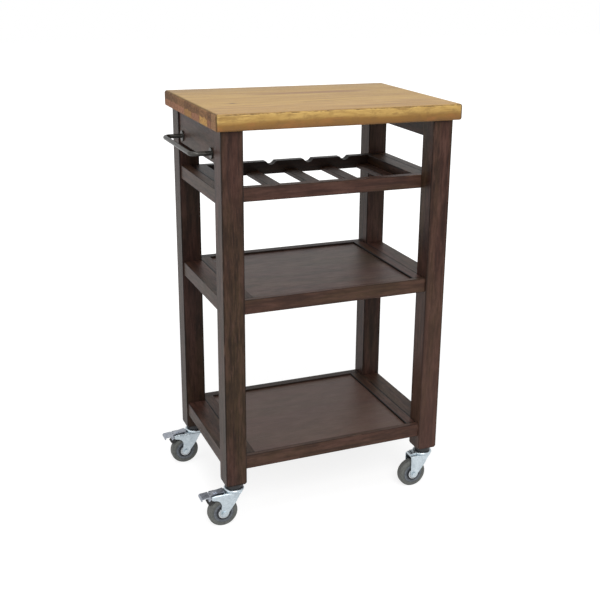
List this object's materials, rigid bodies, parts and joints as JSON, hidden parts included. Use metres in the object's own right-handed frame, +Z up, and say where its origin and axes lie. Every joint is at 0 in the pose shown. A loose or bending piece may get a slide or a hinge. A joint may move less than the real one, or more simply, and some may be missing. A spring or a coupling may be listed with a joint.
{
  "type": "kitchen cart",
  "caption": "Rolling kitchen cart with a thick wooden worktop, wine rack with neck notches, two framed shelves, a towel bar and swivel casters.",
  "frame": {"origin": "on the floor, under the middle point between the four legs", "axes": "+Z up, +X to the right and -Y to the front, seen by someone facing the front; the towel bar is on the -X side"},
  "size_m": [0.5548, 0.371, 0.864],
  "materials": {
    "worktop_wood": "honey coloured glued hardwood staves, satin oil",
    "leg_wood": "dark brown stained hardwood, satin",
    "frame_wood": "dark brown stained hardwood, satin",
    "panel_wood": "dark brown stained board, satin",
    "gunmetal": "dark satin metal",
    "dark_steel": "black satin",
    "zinc": "bright zinc plating",
    "hub": "pale grey moulded plastic",
    "tyre": "grey rubber tread",
    "shoe": "black rubber"
  },
  "bodies": {
    "cart": {"worktop": "worktop_wood", "leg_fl": "leg_wood", "leg_fr": "leg_wood", "leg_rl": "leg_wood", "leg_rr": "leg_wood", "apron_left": "frame_wood", "apron_right": "frame_wood", "rack_side_rail_left": "frame_wood", "rack_side_rail_right": "frame_wood", "rack_strip_left": "frame_wood", "rack_strip_right": "frame_wood", "rack_front_rail": "frame_wood", "rack_rear_rail": "frame_wood", "rack_slat_1": "frame_wood", "rack_slat_2": "frame_wood", "rack_slat_3": "frame_wood", "rack_slat_4": "frame_wood", "rack_slat_5": "frame_wood", "middle_side_rail_left": "frame_wood", "middle_side_rail_right": "frame_wood", "middle_strip_left": "frame_wood", "middle_strip_right": "frame_wood", "middle_front_rail": "frame_wood", "middle_rear_rail": "frame_wood", "middle_panel": "panel_wood", "bottom_side_rail_left": "frame_wood", "bottom_side_rail_right": "frame_wood", "bottom_strip_left": "frame_wood", "bottom_strip_right": "frame_wood", "bottom_front_rail": "frame_wood", "bottom_rear_rail": "frame_wood", "bottom_panel": "panel_wood", "towel_bar": "gunmetal", "towel_bar_flanges": "gunmetal", "caster_stem_fl": "dark_steel", "caster_stem_fr": "dark_steel", "caster_stem_rl": "dark_steel", "caster_stem_rr": "dark_steel"},
    "caster_fl": {"fork_fl": "zinc", "axle_fl": "zinc", "brake_pin_fl": "zinc"},
    "wheel_fl": {"hub_fl": "hub", "tyre_fl": "tyre"},
    "brake_fl": {"brake_lever_fl": "zinc", "brake_shoe_fl": "shoe"},
    "caster_fr": {"fork_fr": "zinc", "axle_fr": "zinc"},
    "wheel_fr": {"hub_fr": "hub", "tyre_fr": "tyre"},
    "caster_rl": {"fork_rl": "zinc", "axle_rl": "zinc", "brake_pin_rl": "zinc"},
    "wheel_rl": {"hub_rl": "hub", "tyre_rl": "tyre"},
    "brake_rl": {"brake_lever_rl": "zinc", "brake_shoe_rl": "shoe"},
    "caster_rr": {"fork_rr": "zinc", "axle_rr": "zinc"},
    "wheel_rr": {"hub_rr": "hub", "tyre_rr": "tyre"}
  },
  "joints": [
    {"name": "swivel_fl", "type": "hinge", "parent": "cart", "child": "caster_fl", "pos_m": [-0.223, -0.1485, 0.08], "axis": [0, 0, 1], "continuous": true},
    {"name": "roll_fl", "type": "hinge", "parent": "caster_fl", "child": "wheel_fl", "pos_m": [-0.249, -0.1485, 0.03175], "axis": [0, 1, 0], "continuous": true},
    {"name": "brake_fl", "type": "hinge", "parent": "caster_fl", "child": "brake_fl", "pos_m": [-0.256, -0.1485, 0.0707], "axis": [0, -1, 0], "range_deg": [0, 5]},
    {"name": "swivel_fr", "type": "hinge", "parent": "cart", "child": "caster_fr", "pos_m": [0.223, -0.1485, 0.08], "axis": [0, 0, 1], "continuous": true},
    {"name": "roll_fr", "type": "hinge", "parent": "caster_fr", "child": "wheel_fr", "pos_m": [0.197, -0.1485, 0.03175], "axis": [0, 1, 0], "continuous": true},
    {"name": "swivel_rl", "type": "hinge", "parent": "cart", "child": "caster_rl", "pos_m": [-0.223, 0.1485, 0.08], "axis": [0, 0, 1], "continuous": true},
    {"name": "roll_rl", "type": "hinge", "parent": "caster_rl", "child": "wheel_rl", "pos_m": [-0.249, 0.1485, 0.03175], "axis": [0, 1, 0], "continuous": true},
    {"name": "brake_rl", "type": "hinge", "parent": "caster_rl", "child": "brake_rl", "pos_m": [-0.256, 0.1485, 0.0707], "axis": [0, -1, 0], "range_deg": [0, 5]},
    {"name": "swivel_rr", "type": "hinge", "parent": "cart", "child": "caster_rr", "pos_m": [0.223, 0.1485, 0.08], "axis": [0, 0, 1], "continuous": true},
    {"name": "roll_rr", "type": "hinge", "parent": "caster_rr", "child": "wheel_rr", "pos_m": [0.197, 0.1485, 0.03175], "axis": [0, 1, 0], "continuous": true}
  ]
}
